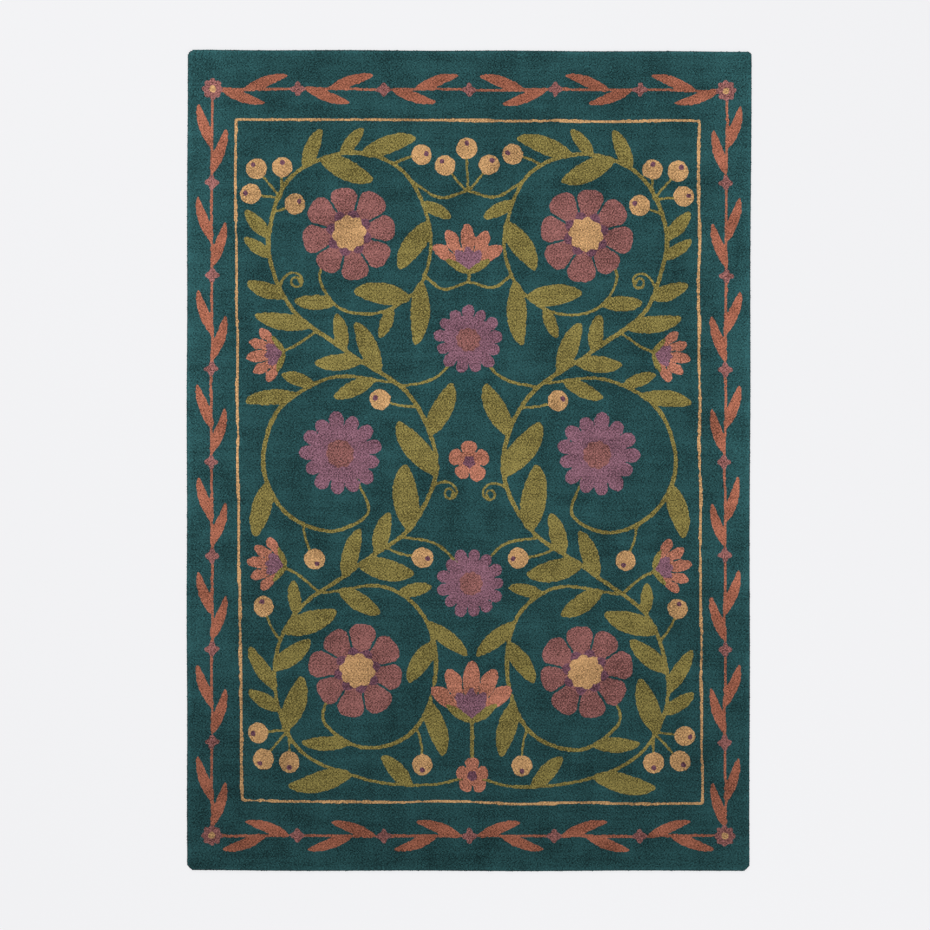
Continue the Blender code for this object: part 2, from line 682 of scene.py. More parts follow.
def smooth(points: list[Point], step: float = 0.008) -> np.ndarray:
    """A smooth curve through given points.

    Args:
        points: The points.
        step: The distance between the curve's points.

    Returns:
        Points along the curve, one a row.
    """
    knots = np.asarray(points, float)
    knots = np.vstack([2.0 * knots[0] - knots[1], knots, 2.0 * knots[-1] - knots[-2]])
    runs = []
    for before, start, end, after in zip(knots, knots[1:], knots[2:], knots[3:]):
        count = max(2, round(float(np.linalg.norm(end - start)) / step))
        t = np.linspace(0.0, 1.0, count, endpoint=False)[:, None]
        square = 2.0 * before - 5.0 * start + 4.0 * end - after
        cube = 3.0 * start - before - 3.0 * end + after
        runs.append(0.5 * (2.0 * start + (end - before) * t + square * t**2 + cube * t**3))
    return np.vstack([*runs, knots[-2][None]])


class Curve:
    """A curve with its length measured along it."""

    def __init__(self, points: np.ndarray) -> None:
        """Measures the curve.

        Args:
            points: Points along it, one a row.
        """
        self.points = points
        self.steps = np.diff(points, axis=0)
        lengths = np.hypot(self.steps[:, 0], self.steps[:, 1])
        self.length = float(lengths.sum())
        self.share = np.concatenate([[0.0], np.cumsum(lengths)]) / self.length

    def at(self, share: float) -> tuple[Point, float]:
        """A place on the curve.

        Args:
            share: How far along it, from 0 to 1.

        Returns:
            The point, and the curve's heading there in degrees.
        """
        step = int(np.clip(np.searchsorted(self.share, share) - 1, 0, len(self.steps) - 1))
        part = (share - self.share[step]) / (self.share[step + 1] - self.share[step])
        x, y = self.points[step] + self.steps[step] * part
        return (float(x), float(y)), math.degrees(math.atan2(self.steps[step][1], self.steps[step][0]))


@dataclass
class Needle:
    """Draws shapes of one yarn on the chart, mirrored or not."""

    chart: TuftChart
    x: np.ndarray
    y: np.ndarray
    mirror: int = 1

    def covered(
        self, points: np.ndarray, half_width: np.ndarray | float
    ) -> Iterator[tuple[Window, np.ndarray]]:
        """Finds the tufts under a line of changing width.

        Args:
            points: Points along the line, one a row.
            half_width: Its half width at each point, or everywhere.

        Yields:
            A part of the chart, and which of its tufts are under the line.
        """
        line = np.asarray(points, float) * [self.mirror, 1.0]
        halves = np.broadcast_to(np.asarray(half_width, float), len(line))
        for start, end, first, last in zip(line, line[1:], halves, halves[1:]):
            wide = max(first, last)
            part = self.chart.window(np.minimum(start, end) - wide, np.maximum(start, end) + wide)
            way = end - start
            off_x, off_y = self.x[part] - start[0], self.y[part] - start[1]
            run = np.clip((off_x * way[0] + off_y * way[1]) / max(float(way @ way), 1e-12), 0.0, 1.0)
            reach = np.hypot(off_x - run * way[0], off_y - run * way[1])
            yield part, reach < first + (last - first) * run

    def stroke(self, points: np.ndarray, half_width: np.ndarray | float, yarn: Yarn) -> None:
        """Draws a line of changing width.

        Args:
            points: Points along the line, one a row.
            half_width: Its half width at each point, or everywhere.
            yarn: Its yarn.
        """
        for part, mask in self.covered(points, half_width):
            self.chart.yarn[part][mask] = yarn.value

    def trace(self, points: np.ndarray, half_width: np.ndarray | float) -> np.ndarray:
        """Marks the tufts under a line of changing width.

        Args:
            points: Points along the line, one a row.
            half_width: Its half width at each point, or everywhere.

        Returns:
            A mask of the chart.
        """
        marked = np.zeros(self.chart.yarn.shape, bool)
        for part, mask in self.covered(points, half_width):
            marked[part] |= mask
        return marked

    def is_bare(
        self, points: np.ndarray, half_width: np.ndarray, root: Point, reach: float, own: np.ndarray
    ) -> bool:
        """Whether a shape would lie on bare ground, apart from a round about its root.

        Args:
            points: Points along the shape, one a row.
            half_width: Its half width at each point.
            root: Where it is rooted.
            reach: The radius of the round that is left out.
            own: A mask of the tufts that don't count, such as its own stem's.

        Returns:
            Whether no other motif is under it.
        """
        for part, mask in self.covered(points, half_width):
            away = np.hypot(self.x[part] - root[0] * self.mirror, self.y[part] - root[1]) > reach
            counted = mask & away & ~own[part]
            if (self.chart.yarn[part][counted] != Yarn.TEAL.value).any():
                return False
        return True

    def petals(
        self, centre: Point, radius: float, count: int, yarn: Yarn, gap: float = 0.0, notch: float = 0.2,
        power: float = 3.0, root: float = 0.0, turn: float = 0.0, uneven: float = 0.0,
    ) -> None:
        """Draws a round of petals.

        Args:
            centre: The middle of the flower.
            radius: The reach of its petals.
            count: How many petals it has.
            yarn: Their yarn.
            gap: The width of the gap between petals.
            notch: How far the outline draws in between petals, as a share of the radius.
            power: How suddenly it does; a larger number gives rounder petals.
            root: The radius where the gaps begin.
            turn: The first petal's direction in degrees.
            uneven: How far the petals differ in length, as a share of the radius.
        """
        x, y = centre[0] * self.mirror, centre[1]
        part = self.chart.window((x - radius, y - radius), (x + radius, y + radius))
        off_x, off_y = (self.x[part] - x) * self.mirror, self.y[part] - y
        reach = np.hypot(off_x, off_y)
        place = (np.degrees(np.arctan2(off_y, off_x)) - turn) * count / 360.0
        petal = np.round(place)
        aside = np.abs(place - petal)
        size = radius * (1.0 + uneven * np.sin(2.4 * (petal % count) + 40.0 * centre[1]))
        inside = reach < size * (1.0 - notch * (2.0 * aside) ** power)
        clear = (0.5 - aside) * 2.0 * math.pi * reach / count > gap / 2.0
        self.chart.yarn[part][inside & (clear | (reach < root))] = yarn.value

    def disc(self, centre: Point, radius: float, yarn: Yarn) -> None:
        """Draws a disc.

        Args:
            centre: Its middle.
            radius: Its radius.
            yarn: Its yarn.
        """
        self.petals(centre, radius, 1, yarn, notch=0.0)


@dataclass(frozen=True)
class Blade:
    """The shape of a leaf or petal: a curved spine and its half widths."""

    spine: np.ndarray
    halves: np.ndarray

    @classmethod
    def grown(
        cls, root: Point, heading: float, length: float, width: float, bend: float = 0.0,
        last_bend: float = 0.0, fullest: float = 0.46, blunt: float = 0.66,
    ) -> "Blade":
        """Shapes a blade.

        Args:
            root: Its root.
            heading: The direction that it sets out in, in degrees.
            length: Its length.
            width: Its greatest width.
            bend: How its spine turns at the root, in degrees a metre.
            last_bend: How it turns at the tip.
            fullest: The share of its length where it is widest.
            blunt: How blunt its ends are; a smaller number is blunter.

        Returns:
            The blade.
        """
        spine = bent(root, heading, length, bend, last_bend)
        share = np.linspace(0.0, 1.0, len(spine)) ** (math.log(0.5) / math.log(fullest))
        return cls(spine, width / 2.0 * np.sin(math.pi * share) ** blunt + 0.001)


@dataclass
class Florist:
    """Draws the flowers, berries and leaves of the ornament, with all its needles alike.

    A leaf shape is its lean in degrees and its width as a share of its length.
    """

    needles: list[Needle]
    limit: Point = (0.636, 0.946)
    middle_gap: float = 0.006
    clearance: float = 0.0115
    stalk: float = 0.0034
    berry_radius: float = 0.0290
    leaf_shapes: tuple[Point, ...] = ((40.0, 0.38), (30.0, 0.34), (21.0, 0.30))
    leaf_bend: float = 260.0
    shortest_leaf: float = 0.052

    def stroke(self, points: np.ndarray, half_width: np.ndarray | float, yarn: Yarn) -> None:
        """Draws a line of changing width with each needle."""
        for needle in self.needles:
            needle.stroke(points, half_width, yarn)

    def petals(self, centre: Point, radius: float, count: int, yarn: Yarn, **shape: float) -> None:
        """Draws a round of petals with each needle."""
        for needle in self.needles:
            needle.petals(centre, radius, count, yarn, **shape)

    def blade(self, blade: Blade, yarn: Yarn = Yarn.OLIVE) -> None:
        """Draws a leaf or petal with each needle."""
        self.stroke(blade.spine, blade.halves, yarn)

    def fits(
        self, points: np.ndarray, halves: np.ndarray | float, root: Point, reach: float,
        own: np.ndarray | None = None,
    ) -> bool:
        """Whether a shape has room: on bare ground, in its half of the field and clear of the guard line.

        Args:
            points: Points along the shape.
            halves: Its half widths.
            root: Where it is rooted.
            reach: The radius about the root where other motifs don't count.
            own: A mask of the tufts that don't count, none if left out.

        Returns:
            Whether there is room.
        """
        x, y = points[:, 0], np.abs(points[:, 1])
        wide = np.asarray(halves)
        inside = (x - wide > self.middle_gap) & (x + wide < self.limit[0])
        inside &= y + wide < self.limit[1]
        if not inside.all():
            return False
        spared = np.zeros(self.needles[0].chart.yarn.shape, bool) if own is None else own
        return self.needles[0].is_bare(points, wide + self.clearance, root, reach, spared)

    def rosette(self, at: Point, radius: float, turn: float = 0.0) -> None:
        """Draws a rosette of round mauve petals with a gold heart.

        Args:
            at: Its middle.
            radius: Its radius.
            turn: Its turn in degrees.
        """
        shape = {"gap": 0.0065, "notch": 0.22, "power": 3.6, "root": 0.44 * radius, "uneven": 0.035}
        self.petals(at, radius, 8, Yarn.MAUVE, turn=turn, **shape)
        self.petals(at, 0.50 * radius, 8, Yarn.PLUM, notch=0.28, power=2.0, turn=turn + 22.5)
        self.petals(at, 0.38 * radius, 8, Yarn.GOLD, notch=0.18, power=2.0, turn=turn)

    def daisy(self, at: Point, radius: float, turn: float = 0.0) -> None:
        """Draws a purple daisy with a mauve heart.

        Args:
            at: Its middle.
            radius: Its radius.
            turn: Its turn in degrees.
        """
        shape = {"gap": 0.004, "notch": 0.22, "power": 2.4, "root": 0.70 * radius, "uneven": 0.04}
        self.petals(at, radius, 13, Yarn.PURPLE, turn=turn, **shape)
        self.petals(at, 0.36 * radius, 9, Yarn.MAUVE, notch=0.15, power=2.0, turn=turn)

    def blossom(self, at: Point, radius: float, turn: float = 0.0) -> None:
        """Draws a coral blossom of five petals with a plum heart.

        Args:
            at: Its middle.
            radius: Its radius.
            turn: Its turn in degrees.
        """
        shape = {"gap": 0.005, "notch": 0.30, "power": 2.5, "root": 0.55 * radius, "uneven": 0.05}
        self.petals(at, radius, 5, Yarn.CORAL, turn=turn, **shape)
        self.petals(at, 0.34 * radius, 5, Yarn.PLUM, notch=0.3, power=1.0, turn=turn + 36.0)

    def fan(self, at: Point, heading: float, size: float) -> None:
        """Draws a half flower: five coral petals over a purple cup.

        Args:
            at: The root of its petals.
            heading: Its direction in degrees.
            size: The length of its middle petal.
        """
        for place in (-2, 2, -1, 1, 0):
            length = size * (1.0 - 0.05 * abs(place))
            for rim, yarn in ((0.007, Yarn.TEAL), (0.0, Yarn.CORAL)):
                width = 0.31 * size + rim
                self.blade(Blade.grown(at, heading + 29.0 * place, length, width, fullest=0.66), yarn)
        for place in (-1, 0, 1):
            root = towards(at, heading, -0.05 * size)
            self.blade(Blade.grown(root, heading + 32.0 * place, 0.52 * size, 0.25 * size), Yarn.PURPLE)
        for side in (1, -1):
            root = towards(at, heading, -0.14 * size)
            bend = -120.0 * side
            self.blade(Blade.grown(root, heading + 62.0 * side, 0.60 * size, 0.16 * size, bend, bend))

    def berry(self, at: Point, heading: float) -> None:
        """Draws a gold berry with a plum eye.

        Args:
            at: Its middle.
            heading: Where its eye looks, in degrees.
        """
        radius = self.berry_radius
        self.petals(at, radius, 1, Yarn.GOLD, notch=0.0)
        self.petals(towards(at, heading, 0.50 * radius), 0.27 * radius, 1, Yarn.PLUM, notch=0.0)

    def spray(self, root: Point, heading: float, stalk: float, spread: float = 50.0) -> None:
        """Draws three berries on stalks.

        Args:
            root: Where the stalks meet.
            heading: The direction of the spray in degrees.
            stalk: The length of the outer stalks.
            spread: The angle between the stalks.
        """
        for side in (-1, 0, 1):
            line = bent(root, heading + spread * side, stalk * (1.35 - 0.35 * abs(side)), -330.0 * side, 0.0)
            self.stroke(line, self.stalk, Yarn.OLIVE)
            end, way = Curve(line).at(1.0)
            self.berry(towards(end, way, 0.9 * self.berry_radius), way)

    def grow_leaf(self, curve: Curve, share: float, side: int, longest: float, own: np.ndarray) -> None:
        """Grows the longest leaf that has room beside a stem, if there is room for any.

        Args:
            curve: The stem.
            share: Where on the stem it is rooted.
            side: 1 if it grows to the left, or -1.
            longest: The greatest length.
            own: A mask of the stem's own tufts.
        """
        root, way = curve.at(share)
        for length in np.arange(longest, self.shortest_leaf, -0.010):
            for lean, slender in self.leaf_shapes:
                heading, bend = way + lean * side, self.leaf_bend * side
                blade = Blade.grown(root, heading, length, slender * length, bend, -1.5 * bend)
                half = len(blade.spine) // 2
                free = self.fits(blade.spine[half:], blade.halves[half:], root, 0.0)
                if free and self.fits(blade.spine[: half + 1], blade.halves[: half + 1], root, 0.022, own):
                    self.blade(blade)
                    return

    def grow_berry(self, root: Point, heading: float, bend: float) -> None:
        """Grows a berry on the longest stalk that has room, if there is room for any.

        Args:
            root: Where its stalk starts.
            heading: The stalk's direction in degrees.
            bend: How the stalk turns, in degrees a metre.
        """
        for reach in np.arange(0.080, 0.030, -0.010):
            line = bent(root, heading, reach, bend, bend)
            end, way = Curve(line).at(1.0)
            middle = towards(end, way, 0.9 * self.berry_radius)
            spot = np.array([middle, towards(middle, way, 0.001)])
            if self.fits(spot, self.berry_radius, root, 0.0) and self.fits(line, 0.0, root, 0.6 * reach):
                self.stroke(line, self.stalk, Yarn.OLIVE)
                self.berry(middle, way)
                return

    def grow_curl(self, root: Point, heading: float, side: int) -> None:
        """Grows a curling tendril if there is room.

        Args:
            root: Where it starts.
            heading: Its direction in degrees.
            side: 1 if it curls to the left, or -1.
        """
        for size in (1.0, 0.85, 0.7):
            line = bent(root, heading, 0.19 * size, 300.0 * side / size, 5200.0 * side / size)
            if self.fits(line, 0.003, root, 0.05 * size):
                self.stroke(line, np.linspace(0.0036, 0.0030, len(line)), Yarn.OLIVE)
                self.petals(Curve(line).at(1.0)[0], 0.0060, 1, Yarn.OLIVE, notch=0.0)
                return

    def stem(self, curve: Curve, slim: float, full: float) -> None:
        """Draws a stem that is a little thicker half way along.

        Args:
            curve: Its middle line.
            slim: Its half width at its ends.
            full: Its half width half way along.
        """
        self.stroke(curve.points, slim + (full - slim) * np.sin(math.pi * curve.share), Yarn.OLIVE)


@dataclass(frozen=True)
class Stem:
    """A stem drawn through given points, and how it is set with leaves and berries."""

    points: tuple[Point, ...]
    leaf_gap: float = 0.0
    berry_nodes: tuple[tuple[float, int], ...] = ()
    curl_nodes: tuple[tuple[float, int], ...] = ()
    outer: int = 1
    longest: float = 0.180
    full: float = 0.0060

    @property
    def curve(self) -> Curve:
        """Its middle line."""
        return Curve(smooth(list(self.points)))


@dataclass
class Field:
    """The field inside the guard line: a mirrored scrolling vine with flowers.

    The field lies a little askew: its corners' offsets from a true rectangle are
    those of the guard line.
    """

    chart: TuftChart
    half_width: float = 0.6555
    half_length: float = 0.9665
    line: float = 0.0037
    berry_lean: float = 62.0
    berry_bend: float = 300.0
    curl_lean: float = 40.0
    bare_end: float = 0.05
    inner_share: float = 0.86
    head_left: Point = (-0.0081, -0.0008)
    head_right: Point = (-0.0050, -0.0039)
    foot_left: Point = (0.0115, 0.0022)
    foot_right: Point = (0.0081, -0.0069)

    def __post_init__(self) -> None:
        """Works out each tuft's place on the true, unskewed field."""
        right = np.clip(self.chart.x / self.half_width, -1.2, 1.2) / 2.0 + 0.5
        head = np.clip(self.chart.y / self.half_length, -1.2, 1.2) / 2.0 + 0.5
        shift = []
        for axis in (0, 1):
            top = self.head_left[axis] * (1.0 - right) + self.head_right[axis] * right
            bottom = self.foot_left[axis] * (1.0 - right) + self.foot_right[axis] * right
            shift.append(top * head + bottom * (1.0 - head))
        self.x = self.chart.drawn_x - shift[0]
        self.y = self.chart.drawn_y - shift[1]

    def stems(self) -> tuple[Stem, ...]:
        """The stems of one half of the field.

        Returns:
            The main vine, its two scrolls and the short stems.
        """
        main = Stem(
            (
                (0.012, -0.895), (0.13, -0.918), (0.32, -0.900), (0.49, -0.82), (0.560, -0.64), (0.51, -0.45),
                (0.34, -0.31), (0.17, -0.19), (0.095, 0.0), (0.17, 0.185), (0.34, 0.305), (0.50, 0.43),
                (0.565, 0.62), (0.50, 0.80), (0.34, 0.875), (0.18, 0.82), (0.108, 0.66), (0.13, 0.51),
                (0.24, 0.425), (0.36, 0.43), (0.42, 0.52), (0.385, 0.60),
            ),
            leaf_gap=0.058,
            berry_nodes=((0.10, 1), (0.225, -1), (0.335, 1), (0.46, -1), (0.555, -1), (0.66, 1), (0.775, -1)),
            curl_nodes=((0.27, -1), (0.395, 1), (0.50, -1), (0.60, 1)),
            outer=-1,
        )
        low = Stem(
            (
                (0.42, -0.375), (0.25, -0.355), (0.128, -0.45), (0.103, -0.62),
                (0.17, -0.77), (0.31, -0.815), (0.42, -0.74), (0.40, -0.65),
            ),
            leaf_gap=0.058,
            berry_nodes=((0.28, -1), (0.62, -1)),
            outer=-1,
            longest=0.155,
        )
        middle = Stem(
            (
                (0.22, 0.222), (0.39, 0.235), (0.535, 0.15), (0.585, 0.0),
                (0.53, -0.14), (0.40, -0.20), (0.29, -0.15), (0.32, -0.05),
            ),
            leaf_gap=0.058,
            berry_nodes=((0.24, 1), (0.70, 1)),
            longest=0.155,
        )
        short = (
            ((0.43, -0.375), (0.49, -0.325), (0.545, -0.300)),
            ((0.43, 0.365), (0.49, 0.325), (0.545, 0.305)),
            ((0.20, -0.215), (0.10, -0.235), (0.03, -0.30)),
            ((0.20, 0.21), (0.10, 0.235), (0.03, 0.30)),
            ((0.125, 0.53), (0.07, 0.490), (0.008, 0.505)),
            ((0.16, 0.795), (0.08, 0.748), (0.008, 0.765)),
        )
        return (main, low, middle, *(Stem(points, full=0.0040) for points in short))

    def draw_flowers(self, both: Florist, one: Florist) -> None:
        """Draws the flowers and the sprays of berries.

        Args:
            both: Draws on both halves.
            one: Draws on the middle line.
        """
        both.spray((0.520, -0.765), -48.0, 0.062)
        both.spray((0.528, 0.745), 50.0, 0.060)
        both.rosette((0.325, -0.595), 0.132, 10.0)
        both.rosette((0.335, 0.645), 0.132, -8.0)
        both.daisy((0.365, 0.020), 0.116)
        both.fan((0.535, -0.300), 8.0, 0.096)
        both.fan((0.535, 0.305), -8.0, 0.096)
        one.daisy((0.0, -0.345), 0.096)
        one.daisy((0.0, 0.345), 0.096, 90.0)
        one.stroke(np.array([(0.0, -0.90), (0.0, -0.72)]), 0.0055, Yarn.OLIVE)
        one.fan((0.0, -0.715), 90.0, 0.145)
        one.stroke(np.array([(0.0, 0.505), (0.0, 0.56)]), 0.0045, Yarn.OLIVE)
        one.fan((0.0, 0.550), 90.0, 0.125)
        one.spray((0.0, 0.765), 90.0, 0.072, 48.0)
        one.blossom((0.0, 0.0), 0.058, 90.0)
        one.blossom((0.0, -0.892), 0.050, 90.0)

    def draw(self) -> None:
        """Draws the whole field."""
        self.draw_line()
        both = Florist([Needle(self.chart, self.x, self.y, mirror) for mirror in (1, -1)])
        one = Florist([Needle(self.chart, self.x, self.y)])
        stems = self.stems()
        for stem in stems:
            both.stem(stem.curve, 0.0036, stem.full)
        self.draw_flowers(both, one)
        for stem in stems:
            for share, side in stem.berry_nodes:
                at, way = stem.curve.at(share)
                both.grow_berry(at, way + self.berry_lean * side, -self.berry_bend * side)
        for stem in stems:
            for share, side in stem.curl_nodes:
                at, way = stem.curve.at(share)
                both.grow_curl(at, way + self.curl_lean * side, side)
        for stem in stems:
            if not stem.leaf_gap:
                continue
            curve = stem.curve
            own = both.needles[0].trace(curve.points, stem.full + 0.002)
            for run in np.arange(self.bare_end, curve.length - self.bare_end, stem.leaf_gap):
                share = run / curve.length
                both.grow_leaf(curve, share, stem.outer, stem.longest, own)
                both.grow_leaf(curve, share, -stem.outer, self.inner_share * stem.longest, own)

    def draw_line(self) -> None:
        """Draws the gold guard line, one row of tufts and a bit wide."""
        needle = Needle(self.chart, self.x, self.y)
        corners = [(1, -1), (1, 1), (-1, 1), (-1, -1), (1, -1)]
        for start, end in zip(corners, corners[1:]):
            share = np.linspace(0.0, 1.0, 60)[:, None]
            ends = np.array([start, end]) * [self.half_width, self.half_length]
            points = ends[0] * (1.0 - share) + ends[1] * share
            uneven = 0.0009 * waves(points[:, 0], points[:, 1], 0.09, 21)
            needle.stroke(points, self.line + uneven, Yarn.GOLD)


@dataclass
class Border:
    """The band outside the guard line: a terracotta garland with mauve rosettes."""

    chart: TuftChart
    half_width: float = 0.729
    head: float = 1.053
    foot: float = -1.064
    leaf_length: float = 0.128
    leaf_width: float = 0.0275
    lean: float = 19.0
    bend: float = 150.0
    leaf_places: tuple[tuple[float, int], ...] = ((0.11, 1), (0.38, -1))
    stem: float = 0.0036
    rosette: float = 0.0215
    corner_rosette: float = 0.030
    heart: float = 0.010
    side_groups: int = 8
    end_groups: int = 3

    def run(self, needle: Needle, start: Point, end: Point, groups: int) -> None:
        """Draws a straight run of the garland: leaves on each side in turn, between rosettes.

        Args:
            needle: What it is drawn with.
            start: Where the run starts.
            end: Where it ends.
            groups: How often the group of leaves and rosette comes.
        """
        line = Curve(np.array([start, end]))
        needle.stroke(line.points, self.stem, Yarn.TERRACOTTA)
        for number in range(groups):
            for place, side in self.leaf_places:
                root, way = line.at((number + place) / groups)
                heading, bend = way + self.lean * side, self.bend * side
                size = (self.leaf_length, self.leaf_width)
                blade = Blade.grown(root, heading, *size, bend, -2.4 * bend, fullest=0.42)
                needle.stroke(blade.spine, blade.halves, Yarn.TERRACOTTA)
        for number in range(groups + 1):
            at, way = line.at(number / groups)
            needle.petals(at, self.rosette, 4, Yarn.MAUVE, notch=0.48, power=1.4, turn=way)

    def draw(self) -> None:
        """Draws the whole border."""
        for mirror in (1, -1):
            needle = Needle(self.chart, self.chart.drawn_x, self.chart.drawn_y, mirror)
            foot, head = (self.half_width, self.foot), (self.half_width, self.head)
            self.run(needle, (0.0, self.foot), foot, self.end_groups)
            self.run(needle, foot, head, self.side_groups)
            self.run(needle, head, (0.0, self.head), self.end_groups)
            for corner in (foot, head):
                needle.petals(corner, self.corner_rosette, 8, Yarn.MAUVE, notch=0.30, power=2.2)
                needle.disc(corner, self.heart, Yarn.GOLD)


def make_mesh(name: str, places: np.ndarray, faces: np.ndarray) -> bpy.types.Object:
    """Makes a mesh object of triangles or quads, in one go.

    Args:
        name: The object's name.
        places: Its vertices, one a row.
        faces: The vertices of its faces, one face a row.

    Returns:
        The object, linked to the scene.
    """
    mesh = bpy.data.meshes.new(name)
    count, corners = faces.shape
    mesh.vertices.add(len(places))
    mesh.vertices.foreach_set("co", places.astype(np.float32).ravel())
    mesh.loops.add(count * corners)
    mesh.loops.foreach_set("vertex_index", faces.astype(np.int32).ravel())
    mesh.polygons.add(count)
    mesh.polygons.foreach_set("loop_start", np.arange(0, count * corners, corners, dtype=np.int32))
    mesh.polygons.foreach_set("use_smooth", np.ones(count, bool))
    mesh.update(calc_edges=True)
    mesh.validate()
    piece = bpy.data.objects.new(name, mesh)
    bpy.context.scene.collection.objects.link(piece)
    return piece


def lay_out(piece: bpy.types.Object) -> None:
    """Gives a flat piece a map that looks straight down on it.

    Args:
        piece: The piece.
    """
    mesh = piece.data
    places = np.empty(len(mesh.vertices) * 3)
    mesh.vertices.foreach_get("co", places)
    places = places.reshape(-1, 3)[:, :2]
    low, high = places.min(0), places.max(0)
    margin = 0.004
    shares = margin + (1.0 - 2.0 * margin) * (places - low) / (high - low)
    corners = np.empty(len(mesh.loops), np.int32)
    mesh.loops.foreach_get("vertex_index", corners)
    layer = mesh.uv_layers.new(name="OFBake")
    layer.data.foreach_set("uv", shares[corners].astype(np.float32).ravel())


@dataclass
class Pile:
    """The cut pile: one surface for each yarn, on a shared net of tuft corners."""

    chart: TuftChart
    section: EdgeSection
    spread: float = 0.16
    rough: float = 0.00032
    clump: float = 0.00022
    clump_size: float = 0.021
    swell: float = 0.00035
    swell_size: float = 0.45
    rounds: int = 3
    edge_light_start: float = 0.0057
    edge_light_fade: float = 0.0055

    def corners(self) -> np.ndarray:
        """The tufts' corners, uneven as cut yarn ends are.

        Returns:
            Their places, as rows by columns by three.
        """
        draw = np.random.default_rng(8)
        x, y = np.meshgrid(self.chart.edges_x, self.chart.edges_y)
        inset = self.section.inset(x, y)
        free = np.clip(inset / self.section.shoulder, 0.0, 1.0)
        shift = self.spread * self.chart.pitch
        z = self.section.height(np.maximum(inset, 0.0))
        z += free * self.swell * waves(x, y, self.swell_size, 31)
        z += free * self.clump * waves(x, y, self.clump_size, 32)
        uneven = np.clip(draw.normal(0.0, 1.0, (3, *x.shape)), -2.2, 2.2)
        z += (0.4 + 0.6 * free) * self.rough * uneven[0]
        x, y = x + free * shift * uneven[1], y + free * shift * uneven[2]
        lying = np.stack(self.chart.outline.lay(x, y), -1)
        self.smooth_borders(lying)
        return np.concatenate([lying, z[..., None]], -1)

    def smooth_borders(self, places: np.ndarray) -> None:
        """Draws the corners between two yarns into a smooth line, as a carver's shears do.

        Args:
            places: The corners' places across and along, which are changed.
        """
        yarn = np.pad(self.chart.yarn, 1, mode="edge")
        across = (yarn[:-1, 1:-1] != yarn[1:, 1:-1]).astype(float)
        along = (yarn[1:-1, :-1] != yarn[1:-1, 1:]).astype(float)
        count = np.zeros(places.shape[:2])
        count[:, :-1] += across
        count[:, 1:] += across
        count[:-1] += along
        count[1:] += along
        line = count == 2.0
        for _ in range(self.rounds):
            total = np.zeros_like(places)
            total[:, :-1] += across[..., None] * places[:, 1:]
            total[:, 1:] += across[..., None] * places[:, :-1]
            total[:-1] += along[..., None] * places[1:]
            total[1:] += along[..., None] * places[:-1]
            places[line] += 0.5 * (total[line] / 2.0 - places[line])

    def tones(self) -> dict[str, np.ndarray]:
        """How each tuft's brightness differs from its neighbours', and how near the rug's edge it is, for the
        painted light along the edge.

        Returns:
            The values of the attributes that the wool's material reads, each as an array of the chart.
        """
        drawn = np.random.default_rng(9).normal(0.0, 1.0, self.chart.x.shape)
        beside = sum(np.roll(drawn, step, axis) for step in (-1, 1) for axis in (0, 1)) / 4.0
        inset = self.section.inset(self.chart.x, self.chart.y)
        near = np.exp(-np.maximum(inset - self.edge_light_start, 0.0) / self.edge_light_fade)
        return {"tuft": (drawn - beside) * (1.0 - 0.5 * near), "edge": near}

    def surface(
        self, name: str, wool: Wool, tufts: np.ndarray, corners: np.ndarray, tones: dict[str, np.ndarray]
    ) -> bpy.types.Object:
        """The pile surface of some tufts.

        Args:
            name: The piece's name.
            wool: Its finish.
            tufts: Which tufts it has, as a mask of the chart.
            corners: All tufts' corners.
            tones: All tufts' attributes.

        Returns:
            The piece.
        """
        rows, columns = np.nonzero(tufts)
        across = self.chart.columns + 1
        first = rows * across + columns
        faces = np.stack([first, first + 1, first + across + 1, first + across], 1)
        used, faces = np.unique(faces, return_inverse=True)
        piece = make_mesh(name, corners.reshape(-1, 3)[used], faces.reshape(-1, 4))
        for attribute, values in tones.items():
            layer = piece.data.attributes.new(attribute, "FLOAT", "FACE")
            layer.data.foreach_set("value", values[tufts].astype(np.float32))
        piece.data.materials.append(wool.material(name))
        lay_out(piece)
        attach(piece, BODY)
        wool.yarn.slot
        return piece

    def build(self, field_design: Field) -> list[bpy.types.Object]:
        """Builds the pile pieces.

        Args:
            field_design: The field, which parts the ground inside the guard line from the border's.

        Returns:
            The pieces.
        """
        corners, tones = self.corners(), self.tones()
        inside = np.abs(field_design.x) < field_design.half_width
        inside &= np.abs(field_design.y) < field_design.half_length
        head = self.chart.y > 0.0
        parts = {"ground_border": ~inside, "ground_head": inside & head, "ground_foot": inside & ~head}
        pieces = []
        for yarn in Yarn:
            own = (self.chart.yarn == yarn.value) & self.chart.held
            regions = parts if yarn is Yarn.TEAL else {yarn.name.lower(): np.ones_like(own)}
            for region, mask in regions.items():
                piece = self.surface(f"pile_{region}", WOOLS[yarn], own & mask, corners, tones)
                LOG.info("%s: %d tufts", piece.name, len(piece.data.polygons))
                pieces.append(piece)
        return pieces


